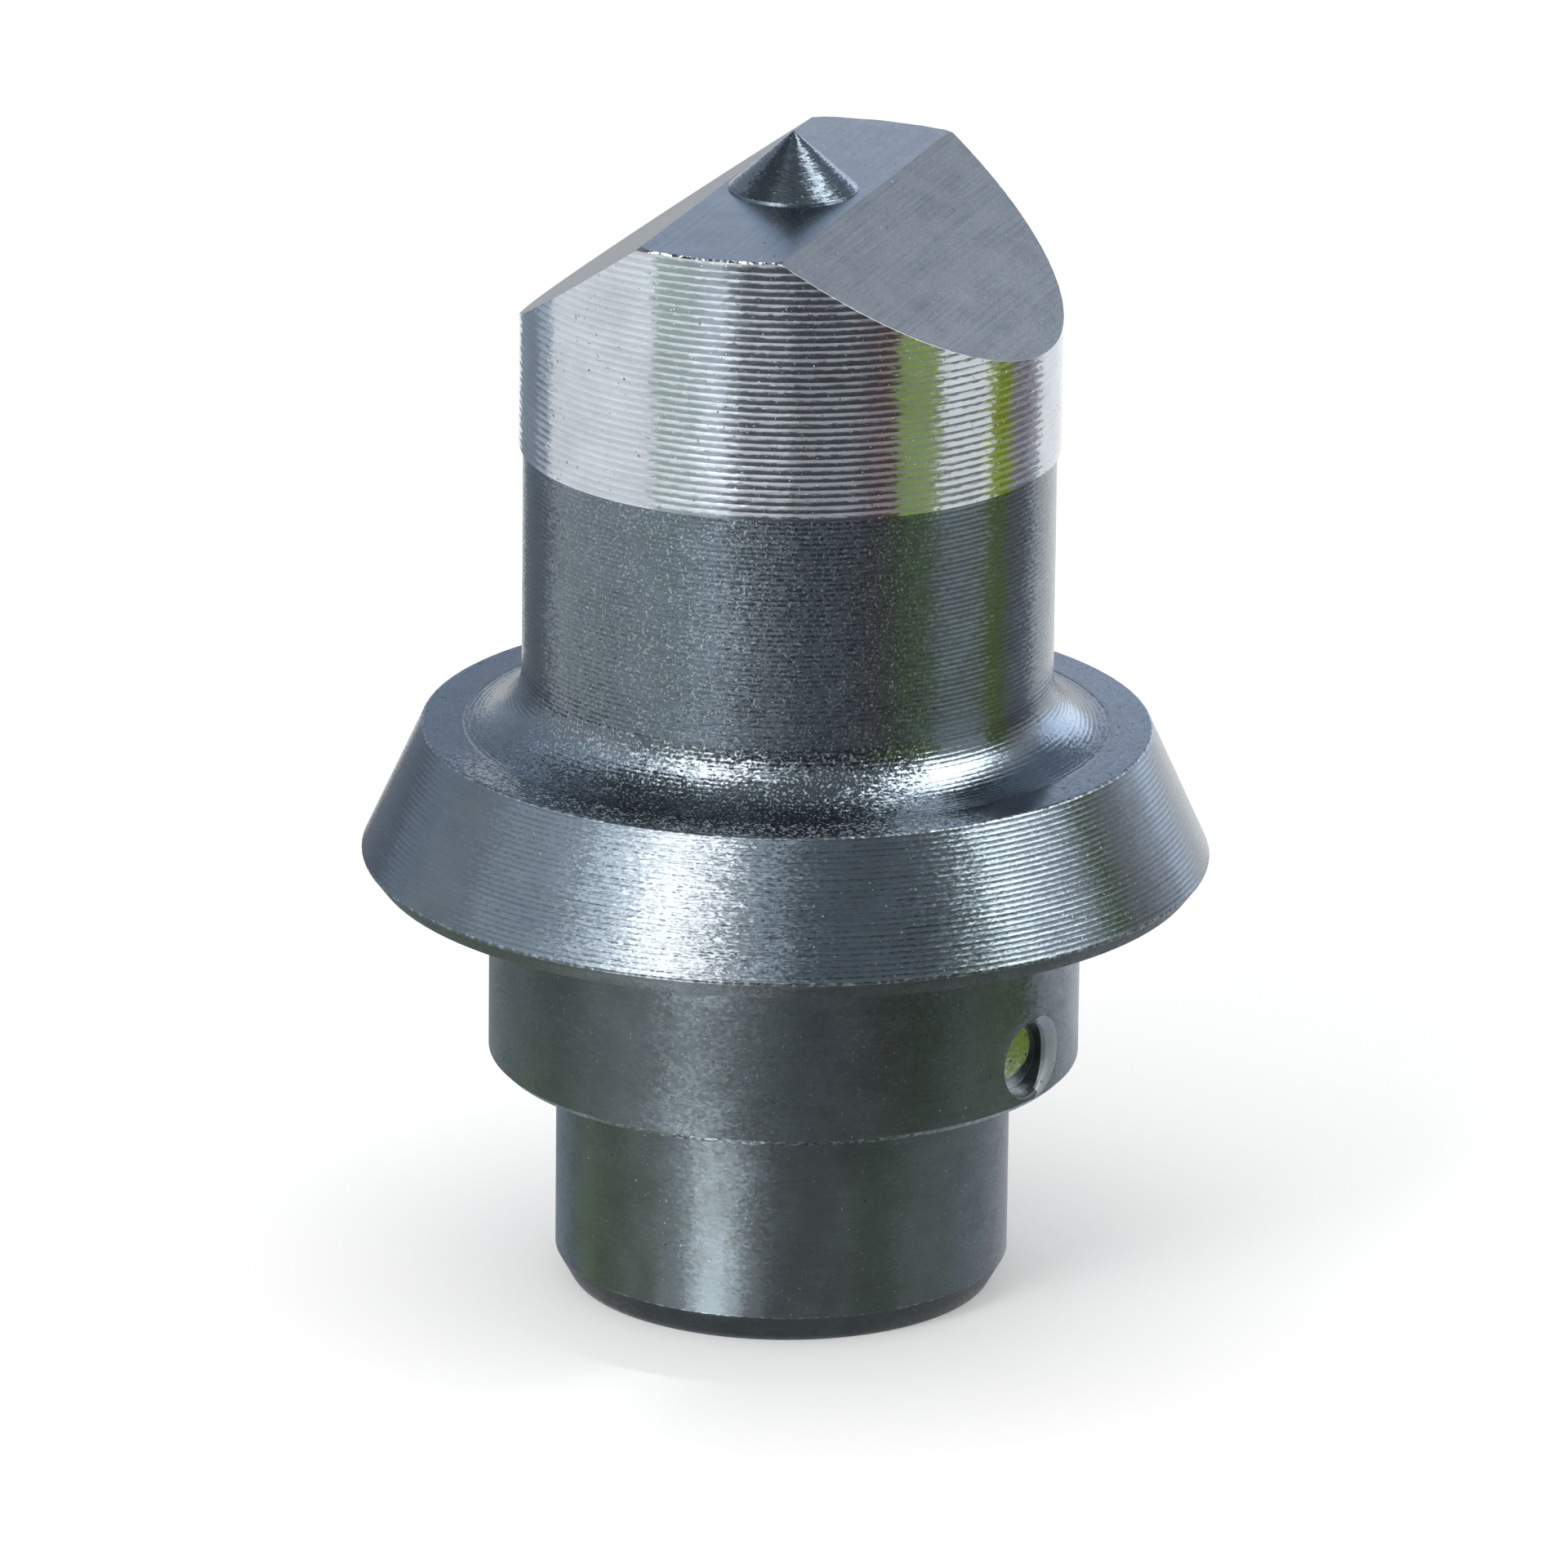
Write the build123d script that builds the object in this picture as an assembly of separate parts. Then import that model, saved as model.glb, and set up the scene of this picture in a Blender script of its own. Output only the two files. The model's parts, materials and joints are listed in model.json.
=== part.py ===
from build123d import *
import os
from math import radians, tan

# Piercing punch for a hydraulic hole puncher, turned from one bar of tool steel.
# From the bottom up it has a spigot and a wider seat that centre it in the ram, a conical
# collar that the retaining nut pulls down, a neck, and a cutting land. The land's end is
# ground to a roof shape, so that the cut starts at the ridge and runs outwards, and a small
# cone on the ridge finds the centre-punched mark on the sheet.
# All sizes are in millimetres. The origin is the centre of the spigot's end face, +Z points
# to the cutting end, and +X points out of the locating hole.

# Spigot, the lowest and thinnest step
SPIGOT_DIAMETER = 22.0
SPIGOT_LENGTH = 11.3
LEAD_IN_HEIGHT = 1.4
LEAD_IN_WIDTH = 0.8

# Seat, the step between the spigot and the collar
SEAT_DIAMETER = 28.6
SEAT_LENGTH = 9.4
SEAT_EDGE_BREAK = 0.3

# Locating hole in the side of the seat, for the tip of a dog-point screw
LOCATING_HOLE_DIAMETER = 3.6
LOCATING_HOLE_DEPTH = 1.3
LOCATING_HOLE_HEIGHT = 2.35  # its axis above the seat's lower face
LOCATING_HOLE_EDGE_BREAK = 0.15

# Collar, a short cone with a bevelled lower edge
COLLAR_DIAMETER = 41.0
COLLAR_HEIGHT = 7.25
COLLAR_TAPER = 24.5  # degrees from the punch's axis
COLLAR_BEVEL_HEIGHT = 0.9
COLLAR_BEVEL_WIDTH = 0.7

# Cutting land, and the neck that is turned back below it
POINT_DIAMETER = 26.0
LAND_LENGTH = 12.6  # from its lower edge to the ridge
NECK_LENGTH = 14.1
NECK_RELIEF = 0.2  # per side
NECK_FILLET = 2.8

# Roof ground on the land's end
SHEAR_ANGLE = 35.4  # degrees that each slope falls
RIDGE_WIDTH = 7.0
RIDGE_OFFSET = 0.2  # the ridge's middle line, beside the punch's axis
RIDGE_TURN = 15.35  # degrees that the ridge is turned from Y, seen from above

# Centre point on the ridge
CENTRE_POINT_DIAMETER = 6.2
CENTRE_POINT_HEIGHT = 2.85
CENTRE_POINT_RIM = 0.15

# Tools that cut the roof and the hole reach this far past the metal
CUT_CLEARANCE = 1.0

spigot_radius = SPIGOT_DIAMETER / 2
seat_radius = SEAT_DIAMETER / 2
collar_radius = COLLAR_DIAMETER / 2
point_radius = POINT_DIAMETER / 2
neck_radius = point_radius - NECK_RELIEF
centre_point_radius = CENTRE_POINT_DIAMETER / 2

seat_z = SPIGOT_LENGTH
collar_z = seat_z + SEAT_LENGTH
collar_top_z = collar_z + COLLAR_HEIGHT
land_z = collar_top_z + NECK_LENGTH
ridge_z = land_z + LAND_LENGTH
tip_z = ridge_z + CENTRE_POINT_HEIGHT

collar_cone_height = COLLAR_HEIGHT - COLLAR_BEVEL_HEIGHT
collar_top_radius = collar_radius - collar_cone_height * tan(radians(COLLAR_TAPER))


def turned_body():
    """The half section, from the bottom face up to the centre point, turned about Z."""
    neck_root = (neck_radius, collar_top_z)
    outline = Polyline(
        (0, 0),
        (spigot_radius - LEAD_IN_WIDTH, 0),
        (spigot_radius, LEAD_IN_HEIGHT),
        (spigot_radius, seat_z),
        (seat_radius - SEAT_EDGE_BREAK, seat_z),
        (seat_radius, seat_z + SEAT_EDGE_BREAK),
        (seat_radius, collar_z),
        (collar_radius - COLLAR_BEVEL_WIDTH, collar_z),
        (collar_radius, collar_z + COLLAR_BEVEL_HEIGHT),
        (collar_top_radius, collar_top_z),
        neck_root,
        (neck_radius, land_z),
        (point_radius, land_z),
        (point_radius, ridge_z),
        (centre_point_radius, ridge_z),
        (centre_point_radius, ridge_z + CENTRE_POINT_RIM),
        (0, tip_z),
        close=True,
    )
    section = make_face(outline)
    root_vertex = section.vertices().sort_by_distance(neck_root)[0]
    fillet_radius = min(NECK_FILLET, collar_top_radius - neck_radius)
    section = fillet(root_vertex, fillet_radius)
    # Half a turn puts the seam of the round faces opposite the locating hole.
    return Rot(Z=180) * revolve(Plane.XZ * section, Axis.Z)


def slope_cutter(side):
    """The wedge that is ground away on one side of the ridge, +1 or -1 across it."""
    ridge_edge = RIDGE_WIDTH / 2 + side * RIDGE_OFFSET
    reach = point_radius + CUT_CLEARANCE
    drop = (reach - ridge_edge) * tan(radians(SHEAR_ANGLE))
    top = tip_z + CUT_CLEARANCE
    wedge = Polyline(
        (side * ridge_edge, ridge_z),
        (side * reach, ridge_z - drop),
        (side * reach, top),
        (side * ridge_edge, top),
        close=True,
    )
    return Rot(Z=RIDGE_TURN) * extrude(Plane.XZ * make_face(wedge), reach, both=True)


def locating_hole_cutter():
    """A flat-ended drill along X that also breaks the edge of the hole's mouth."""
    radius = LOCATING_HOLE_DIAMETER / 2
    axis_z = seat_z + LOCATING_HOLE_HEIGHT
    floor_x = seat_radius - LOCATING_HOLE_DEPTH
    outer_x = seat_radius + CUT_CLEARANCE
    edge_break = LOCATING_HOLE_EDGE_BREAK
    half_section = Polyline(
        (floor_x, axis_z),
        (floor_x, axis_z + radius),
        (seat_radius - edge_break, axis_z + radius),
        (outer_x, axis_z + radius + edge_break + CUT_CLEARANCE),
        (outer_x, axis_z),
        close=True,
    )
    return revolve(Plane.XZ * make_face(half_section), Axis((0, 0, axis_z), (1, 0, 0)))


def punch():
    """The turned body with both slopes ground and the locating hole drilled."""
    return turned_body() - slope_cutter(1) - slope_cutter(-1) - locating_hole_cutter()


os.makedirs("parts", exist_ok=True)
export_step(punch(), "parts/punch_body.step")
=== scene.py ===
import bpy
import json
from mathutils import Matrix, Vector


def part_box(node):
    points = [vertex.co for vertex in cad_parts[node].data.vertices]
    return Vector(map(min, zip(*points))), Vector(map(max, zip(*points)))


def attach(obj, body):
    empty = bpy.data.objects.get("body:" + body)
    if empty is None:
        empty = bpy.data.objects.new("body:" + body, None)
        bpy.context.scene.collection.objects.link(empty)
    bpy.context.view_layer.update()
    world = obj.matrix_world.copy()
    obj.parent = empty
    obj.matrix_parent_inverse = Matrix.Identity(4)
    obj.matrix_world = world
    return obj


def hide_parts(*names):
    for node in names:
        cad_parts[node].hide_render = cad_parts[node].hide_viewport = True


bl_info = {
    "name": "Piercing punch",
    "version": (1, 0, 0),
    "blender": (4, 5, 0),
    "location": "View3D > Sidebar > Punch",
    "description": "A turned and roof-ground piercing punch with its finishes, on a plain stage",
    "category": "Object",
}

import json
from collections import namedtuple
from math import atan2, cos, pi, radians, sin, tan

import bpy
import numpy as np
from bpy.props import FloatProperty, FloatVectorProperty, IntProperty, PointerProperty
from mathutils import Matrix, Vector

# All lengths are in metres unless a name says otherwise. The punch stands on its spigot's end
# face at the origin, +Z points to the cutting end and +X out of the locating hole.
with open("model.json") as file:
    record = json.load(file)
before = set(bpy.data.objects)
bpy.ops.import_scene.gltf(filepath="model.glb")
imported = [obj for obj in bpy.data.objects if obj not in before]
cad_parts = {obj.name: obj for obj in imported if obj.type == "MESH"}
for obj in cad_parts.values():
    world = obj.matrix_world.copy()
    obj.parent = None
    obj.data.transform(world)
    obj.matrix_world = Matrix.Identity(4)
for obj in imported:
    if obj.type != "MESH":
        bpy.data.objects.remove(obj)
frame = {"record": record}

MM = 0.001
NODE = "punch_body"
mounts = {mount["name"]: mount for mount in frame["record"]["mounts"]}

Wall = namedtuple("Wall", "radius foot top")


def stated_wall(name):
    """Radius, lower end and upper end of a turned wall that the record gives as a mount."""
    mount = mounts[name]
    middle = mount["pos_m"][2]
    half_length = mount["dims"]["length_mm"] * MM / 2
    return Wall(mount["dims"]["r_mm"] * MM, middle - half_length, middle + half_length)


SPIGOT = stated_wall("spigot")
SEAT = stated_wall("seat")
COLLAR_CONE = stated_wall("collar_cone")
LAND = stated_wall("cutting_land")
HOLE = mounts["locating_hole"]
HOLE_RADIUS = HOLE["dims"]["r_mm"] * MM
HOLE_FLOOR_X = HOLE["pos_m"][0] - HOLE["dims"]["length_mm"] * MM / 2
HOLE_AXIS_Z = HOLE["pos_m"][2]
TIP_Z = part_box(NODE)[1].z


def linear(hex_colour):
    """An sRGB hex colour as linear red, green, blue."""
    shares = [int(hex_colour[place:place + 2], 16) / 255 for place in (1, 3, 5)]
    return tuple(s / 12.92 if s <= 0.04045 else ((s + 0.055) / 1.055) ** 2.4 for s in shares)


def length(name, description, default):
    """A length property in metres."""
    return FloatProperty(name=name, description=description, default=default, min=0.0,
                         precision=5, unit="LENGTH")


def angle(name, description, default_degrees):
    """An angle property, whose default is given in degrees."""
    return FloatProperty(name=name, description=description, default=radians(default_degrees),
                         unit="ROTATION", subtype="ANGLE")


def colour(name, description, hex_colour):
    """A colour property, whose default is an sRGB hex value."""
    return FloatVectorProperty(name=name, description=description, size=3, min=0.0, max=1.0,
                               default=linear(hex_colour), subtype="COLOR")


class PunchSizes(bpy.types.PropertyGroup):
    """Sizes of the punch that the record doesn't state, and those of its tool marks."""
    lead_in_width: length("Lead-in width", "Bevel at the spigot's foot, sideways", 0.8 * MM)
    collar_bevel: length("Collar bevel width", "Bevel under the collar's cone, sideways", 0.7 * MM)
    collar_taper: angle("Collar taper", "Slope of the collar's cone from the axis", 24.5)
    neck_relief: length("Neck relief", "How far the neck is turned back below the land", 0.2 * MM)
    neck_fillet: length("Neck fillet", "Radius between the neck and the collar's face", 2.8 * MM)
    edge_radius: length("Edge radius", "Round of the spigot's and the bevel's edges", 0.12 * MM)
    burr_radius: length("Burr radius", "Round of the ragged edges of the collar's cone", 0.17 * MM)
    hole_lean: angle("Hole lean", "How far the locating hole's floor is out of square", 12.0)
    hole_edge: length("Hole edge radius", "Round of the locating hole's mouth", 0.18 * MM)
    shear_angle: angle("Shear angle", "How steeply both ground slopes fall", 35.4)
    ridge_width: length("Ridge width", "Flat left between the ground slopes", 7.0 * MM)
    ridge_offset: length("Ridge offset", "The ridge's middle line, beside the axis", 0.2 * MM)
    ridge_turn: angle("Ridge turn", "How far the ridge is turned from Y, seen from above", 15.35)
    cutting_edge: length("Cutting edge", "Width of the cutting edge's wear", 0.012 * MM)
    ridge_wear: length("Ridge wear", "Width of the beaded wear at the ridge's ends", 0.1 * MM)
    point_radius: length("Centre point radius", "Radius of the small cone's foot", 3.1 * MM)
    point_rim: length("Centre point rim", "Upright rim at the small cone's foot", 0.08 * MM)
    land_feed: length("Land feed", "Pitch of the turning marks on the land", 0.38 * MM)
    cone_feed: length("Cone feed", "Pitch of the turning marks on the collar's cone", 0.27 * MM)
    neck_feed: length("Neck feed", "Pitch of the turning marks on the neck", 0.25 * MM)
    mark_depth: length("Mark depth", "Depth of the land's turning marks", 0.014 * MM)
    columns: IntProperty(name="Columns", description="Steps round the punch", default=128, min=32)


class PunchFinishes(bpy.types.PropertyGroup):
    """Colours of the punch's steel as it was left by each tool."""
    bright_steel: colour("Bright steel", "Land, turned after hardening", "#bbc2c9")
    dark_steel: colour("Dark steel", "Collar and fillet, grey from hardening", "#5f6971")
    # The neck's grey is the dark steel set a little lighter: painted light that brightens the neck
    # where its reflections fall short
    neck_steel: colour("Neck steel", "Neck, grey from hardening", "#646f77")
    cut_steel: colour("Cut steel", "The locating hole's floor, bright from the cutter", "#c8ccd0")
    scuffed_steel: colour("Scuffed steel", "The locating hole's worn lip", "#979ea8")
    shank_steel: colour("Shank steel", "Seat and spigot, smooth and oiled", "#5c6569")
    # Darker than the shank's steel: painted shade in the hole and under the collar
    drilled_steel: colour("Drilled steel", "The locating hole's wall and the collar's bevel",
                          "#4c5357")
    ground_steel: colour("Ground steel", "The two slopes, straight from the wheel", "#808487")
    faced_steel: colour("Faced steel", "The flat of the ridge", "#9da7b3")


def unit(vector):
    """A vector over its own length."""
    vector = np.asarray(vector, float)
    return vector / np.linalg.norm(vector)


# Where each turning mark is sampled, as shares of its pitch from one crest to the next
DEEP_MARK = np.array([0.0, 0.09, 0.3, 0.5, 0.7, 0.91])
FINE_MARK = np.array([0.0, 0.14, 0.5, 0.86])
FAINT_MARK = np.array([0.0, 0.33, 0.67])

# Turning marks, with how far a crest strays from its place, in pitches
Marks = namedtuple("Marks", "pitch depth stations wander", defaults=(0.05,))
# The least and the most of the stated depth that a mark has
DEPTH_SHARES = (0.7, 1.0)

# The half section is made of straight runs between corners, which may be rounded.
Corner = namedtuple("Corner", "r z round finish marks", defaults=(0.0, None, None))
Run = namedtuple("Run", "finish marks", defaults=(None,))
ARC_STEPS = 3


def shares_and_depths(run_length, marks, rng):
    """Stations along one run of the tool and how deep the metal lies there.

    Between two crests the depth is depth times 1 - (2f - 1) squared, where f goes from 0 to 1
    across the mark, which is the hollow that a round-nosed tool leaves.
    """
    count = max(1, round(run_length / marks.pitch))
    crests = np.arange(count + 1, dtype=float)
    crests[1:-1] += rng.uniform(-marks.wander, marks.wander, count - 1)
    depths = marks.depth * rng.uniform(*DEPTH_SHARES, count)
    shares = crests[:-1, None] + marks.stations * np.diff(crests)[:, None]
    hollows = depths[:, None] * (1 - (2 * marks.stations - 1) ** 2)
    return np.append(shares.ravel(), count) / count, np.append(hollows.ravel(), 0.0)


def straight_run(start, end, marks, rng):
    """Stations (r, z) on the line from start to end, sunk by the turning marks."""
    start, end = np.asarray(start, float), np.asarray(end, float)
    along = end - start
    if marks is None:
        return np.array([start, end])
    shares, depths = shares_and_depths(np.linalg.norm(along), marks, rng)
    outward = unit((along[1], -along[0]))
    return start + shares[:, None] * along - depths[:, None] * outward


def corner_arc(before, corner, after, rng):
    """Stations on the arc of radius corner.round that touches both runs at a corner."""
    at = np.array([corner.r, corner.z])
    back, ahead = unit(np.subtract(before, at)), unit(np.subtract(after, at))
    half = np.arccos(np.clip(back @ ahead, -1, 1)) / 2
    centre = at + unit(back + ahead) * corner.round / sin(half)
    first = at + back * corner.round / tan(half) - centre
    last = at + ahead * corner.round / tan(half) - centre
    turn = atan2(first[0] * last[1] - first[1] * last[0], first @ last)
    if corner.marks is None:
        shares, depths = np.linspace(0, 1, ARC_STEPS + 1), np.zeros(ARC_STEPS + 1)
    else:
        shares, depths = shares_and_depths(abs(turn) * corner.round, corner.marks, rng)
    bearing = atan2(first[1], first[0]) + shares * turn
    reach = corner.round - depths * np.sign(turn)
    return centre + reach[:, None] * np.stack([np.cos(bearing), np.sin(bearing)], axis=1)


def turned_profile(corners, runs, rng):
    """The half section as stations from the first corner to the last, and each step's finish.

    runs[i] goes from corners[i] to corners[i + 1]. A corner with a radius becomes an arc, whose
    finish is its own or else that of the run after it.
    """
    points = [(c.r, c.z) for c in corners]
    stations, kinds = [np.array(points[:1])], []
    place = np.array(points[0])
    for i, run in enumerate(runs):
        arc = None
        end = np.array(points[i + 1])
        if i + 2 < len(points) and corners[i + 1].round > 0:
            arc = corner_arc(points[i], corners[i + 1], points[i + 2], rng)
            end = arc[0]
        line = straight_run(place, end, run.marks, rng)[1:]
        stations.append(line)
        kinds += [run.finish] * len(line)
        place = end
        if arc is not None:
            own = corners[i + 1].finish
            stations.append(arc[1:])
            kinds += [runs[i + 1].finish if own is None else own] * (len(arc) - 1)
            place = arc[-1]
    return np.vstack(stations), np.array(kinds)


Skin = namedtuple("Skin", "points triangles finishes")


def ring_points(radii, heights, angles):
    """Points r cos(a), r sin(a), z for every row of radii and heights and every angle."""
    radii, heights, angles = np.broadcast_arrays(radii, heights, angles)
    return np.stack([radii * np.cos(angles), radii * np.sin(angles), heights], axis=-1)


def skin_of_rows(points, finishes):
    """Triangles between neighbouring rows of a grid of points that closes on itself sideways."""
    rows, columns = points.shape[:2]
    here = np.arange(rows * columns).reshape(rows, columns)
    beside = np.roll(here, -1, axis=1)
    a, b, c, d = here[:-1], beside[:-1], beside[1:], here[1:]
    triangles = np.stack([a, b, c, a, c, d], axis=-1).reshape(-1, 3)
    return Skin(points.reshape(-1, 3), triangles, np.repeat(finishes, 2 * columns))


def turned_skin(stations, finishes, angles):
    """The surface that a half section sweeps round the axis."""
    points = ring_points(stations[:, :1], stations[:, 1:], angles[None, :])
    return skin_of_rows(points, finishes)


def stitched_rings(lower, upper, finish):
    """Triangles between two closed rings with different numbers of points, sorted by angle.

    Each edge of one ring goes to the point of the other that was passed last, going round.
    """
    bearings = [np.arctan2(ring[:, 1], ring[:, 0]) for ring in (lower, upper)]
    lower, upper = (ring[np.argsort(b)] for ring, b in zip((lower, upper), bearings))
    low, high = (np.sort(b) for b in bearings)
    next_low, next_high = np.roll(np.arange(len(low)), -1), np.roll(np.arange(len(high)), -1)
    end_low, end_high = np.append(low[1:], low[0] + 2 * pi), np.append(high[1:], high[0] + 2 * pi)
    met_high = (np.searchsorted(high, end_low, side="left") - 1) % len(high)
    met_high[-1] = (np.searchsorted(high, low[0], side="left") - 1) % len(high)
    met_low = (np.searchsorted(low, end_high, side="right") - 1) % len(low)
    met_low[-1] = (np.searchsorted(low, high[0], side="right") - 1) % len(low)
    shift = len(low)
    from_low = np.stack([np.arange(len(low)), next_low, met_high + shift], axis=1)
    from_high = np.stack([next_high + shift, np.arange(len(high)) + shift, met_low], axis=1)
    triangles = np.vstack([from_low, from_high])
    return Skin(np.vstack([lower, upper]), triangles, np.full(len(triangles), finish))


def ground_away(skin, on_plane, upward):
    """What a plane leaves of a skin: every triangle keeps its part below the plane.

    A triangle's edge that crosses the plane gets a point at the share h / (h - g) of its way,
    where h and g are the heights of its two ends above the plane.
    """
    height = (skin.points - on_plane) @ upward
    above = height[skin.triangles] > 0
    count = above.sum(axis=1)
    lone = np.where(count == 1, above.argmax(axis=1), (~above).argmax(axis=1))
    turned = skin.triangles[np.arange(len(lone))[:, None], (lone[:, None] + np.arange(3)) % 3]
    crossed = (count == 1) | (count == 2)
    first, second = turned[crossed][:, [0, 1]], turned[crossed][:, [0, 2]]
    edges, place = np.unique(np.sort(np.vstack([first, second]), axis=1), axis=0,
                             return_inverse=True)
    start, end = height[edges[:, 0]], height[edges[:, 1]]
    share = (start / (start - end))[:, None]
    cuts = (1 - share) * skin.points[edges[:, 0]] + share * skin.points[edges[:, 1]]
    place = place.ravel() + len(skin.points)
    p, q = np.split(place, 2)
    corner, left, right = turned[crossed].T
    loses_tip = count[crossed] == 1
    kept = [
        skin.triangles[count == 0],
        np.stack([p, left, right], axis=1)[loses_tip],
        np.stack([p, right, q], axis=1)[loses_tip],
        np.stack([corner, p, q], axis=1)[~loses_tip],
    ]
    crossed_finish = skin.finishes[crossed]
    finishes = [skin.finishes[count == 0], crossed_finish[loses_tip], crossed_finish[loses_tip],
                crossed_finish[~loses_tip]]
    return Skin(np.vstack([skin.points, cuts]), np.vstack(kept), np.concatenate(finishes))


# Two points nearer than this are one point.
WELD = 1e-8


def welded(skins):
    """One skin of several: points at one place become one, and empty triangles go."""
    shifts = np.cumsum([0] + [len(skin.points) for skin in skins[:-1]])
    points = np.vstack([skin.points for skin in skins])
    triangles = np.vstack([skin.triangles + shift for skin, shift in zip(skins, shifts)])
    finishes = np.concatenate([skin.finishes for skin in skins])
    _, first, place = np.unique(np.round(points / WELD).astype(np.int64), axis=0,
                                return_index=True, return_inverse=True)
    triangles = place.ravel()[triangles]
    a, b, c = triangles.T
    whole = (a != b) & (b != c) & (c != a)
    triangles, finishes = triangles[whole], finishes[whole]
    used, triangles = np.unique(triangles, return_inverse=True)
    return Skin(points[first][used], triangles.reshape(-1, 3), finishes)


def open_edges(skin):
    """Directed edges that no neighbouring triangle runs along the other way."""
    edges = np.vstack([skin.triangles[:, [0, 1]], skin.triangles[:, [1, 2]],
                       skin.triangles[:, [2, 0]]])
    size = len(skin.points)
    forward, backward = edges[:, 0] * size + edges[:, 1], edges[:, 1] * size + edges[:, 0]
    return edges[~np.isin(forward, backward)]


def volume(skin):
    """Signed volume inside a closed skin, positive when its faces point outwards."""
    a, b, c = (skin.points[skin.triangles[:, i]] for i in range(3))
    return np.einsum("ij,ij->i", a, np.cross(b, c)).sum() / 6


# Finishes in the order of the mesh's material slots
(BRIGHT, FILLET, CONE, FACE, SHANK, GROUND, RIDGE, POINT, BORE_AND_SHADE, BURR_AND_HIGHLIGHT, GLINT_BEADS,
 SCUFFED, NECK, FLOOR) = range(14)


# Keeps the way to the ridge's edge finite along the ridge itself
LEAST_COSINE = 1e-6


class Roof:
    """The ground end: its height over any place on the punch."""

    def __init__(self, sizes):
        turn = sizes.ridge_turn
        self.across = np.array([cos(turn), sin(turn)])
        self.edges = {side: sizes.ridge_width / 2 + side * sizes.ridge_offset for side in (1, -1)}
        self.fall = tan(sizes.shear_angle)
        self.top = LAND.top

    def beyond(self, points):
        """Distance past the ridge's nearer edge, negative within the ridge."""
        across = points[..., :2] @ self.across
        return np.maximum(across - self.edges[1], -self.edges[-1] - across)

    def height(self, points):
        """Ridge height within the ridge, then falling evenly with the distance from its edge."""
        return self.top - self.fall * np.maximum(self.beyond(points), 0)

    def plane(self, side, lowered):
        """A point on one slope's plane, and its upward normal."""
        edge = np.append(side * self.edges[side] * self.across, self.top - lowered)
        return edge, unit(np.append(side * self.fall * self.across, 1.0))

    def crease_radius(self, angles):
        """Distance from the axis to the ridge's edge, along each angle."""
        across = np.cos(angles - atan2(self.across[1], self.across[0]))
        edge = np.where(across > 0, self.edges[1], self.edges[-1])
        return edge / np.maximum(np.abs(across), LEAST_COSINE)


def even_angles(count):
    """Angles round the punch, with one on +X."""
    return -pi + 2 * pi * np.arange(count) / count


# How deep the marks elsewhere are, as shares of the land's
SOFT_MARK_SHARE = 0.85  # cone and neck
FILLET_MARK_SHARE = 1.2
FACE_MARK_SHARE = 0.2


def body_profile(sizes, rng):
    """Everything below the land as a half section, from the middle of the bottom face up."""
    cone_rise = COLLAR_CONE.top - COLLAR_CONE.foot
    collar_top_radius = COLLAR_CONE.radius - cone_rise * tan(sizes.collar_taper)
    neck_radius = LAND.radius - sizes.neck_relief
    seat_foot = SPIGOT.top
    seat_edge = SEAT.foot - seat_foot
    small = sizes.edge_radius
    soft_depth = sizes.mark_depth * SOFT_MARK_SHARE
    fillet_marks = Marks(sizes.neck_feed, sizes.mark_depth * FILLET_MARK_SHARE, FINE_MARK)
    corners = [
        Corner(0.0, 0.0),
        Corner(SPIGOT.radius - sizes.lead_in_width, 0.0, small),
        Corner(SPIGOT.radius, SPIGOT.foot, small, BURR_AND_HIGHLIGHT),
        Corner(SPIGOT.radius, seat_foot),
        Corner(SEAT.radius - seat_edge, seat_foot),
        Corner(SEAT.radius, SEAT.foot),
        Corner(SEAT.radius, seat_stations()[-1]),
        Corner(SEAT.radius, SEAT.top, small),
        Corner(COLLAR_CONE.radius - sizes.collar_bevel, SEAT.top, small),
        Corner(COLLAR_CONE.radius, COLLAR_CONE.foot, sizes.burr_radius, BURR_AND_HIGHLIGHT),
        Corner(collar_top_radius, COLLAR_CONE.top, sizes.burr_radius, BURR_AND_HIGHLIGHT),
        Corner(neck_radius, COLLAR_CONE.top, sizes.neck_fillet, FILLET, fillet_marks),
        Corner(neck_radius, LAND.foot),
        Corner(LAND.radius, LAND.foot),
    ]
    runs = [
        Run(SHANK),  # bottom face
        Run(SHANK),  # lead-in bevel
        Run(SHANK),  # spigot
        Run(SHANK),  # the seat's lower face
        Run(BURR_AND_HIGHLIGHT),  # its broken edge
        Run(SHANK, Marks(HOLE_PATCH_STEP, 0.0, np.array([0.0]), 0.0)),  # the seat, past the hole
        Run(SHANK),  # the rest of the seat
        Run(SHANK),  # the collar's underside
        # The bevel's darker steel is painted shade under the collar
        Run(BORE_AND_SHADE),  # the bevel under the cone
        Run(CONE, Marks(sizes.cone_feed, soft_depth, FINE_MARK)),
        Run(FACE, Marks(sizes.neck_feed, sizes.mark_depth * FACE_MARK_SHARE, FAINT_MARK)),
        Run(NECK, Marks(sizes.neck_feed, soft_depth, FINE_MARK)),
        Run(NECK),  # the step out to the land
    ]
    return turned_profile(corners, runs, rng)


# The part of the seat's wall that is rebuilt round the locating hole, in steps of the grid, and
# how far off the wall's radius a point may lie and still be on it
HOLE_PATCH_COLUMNS = 5
HOLE_PATCH_ROWS = 8
HOLE_PATCH_STEP = 0.55 * MM
ON_SEAT = 0.02 * MM

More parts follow.
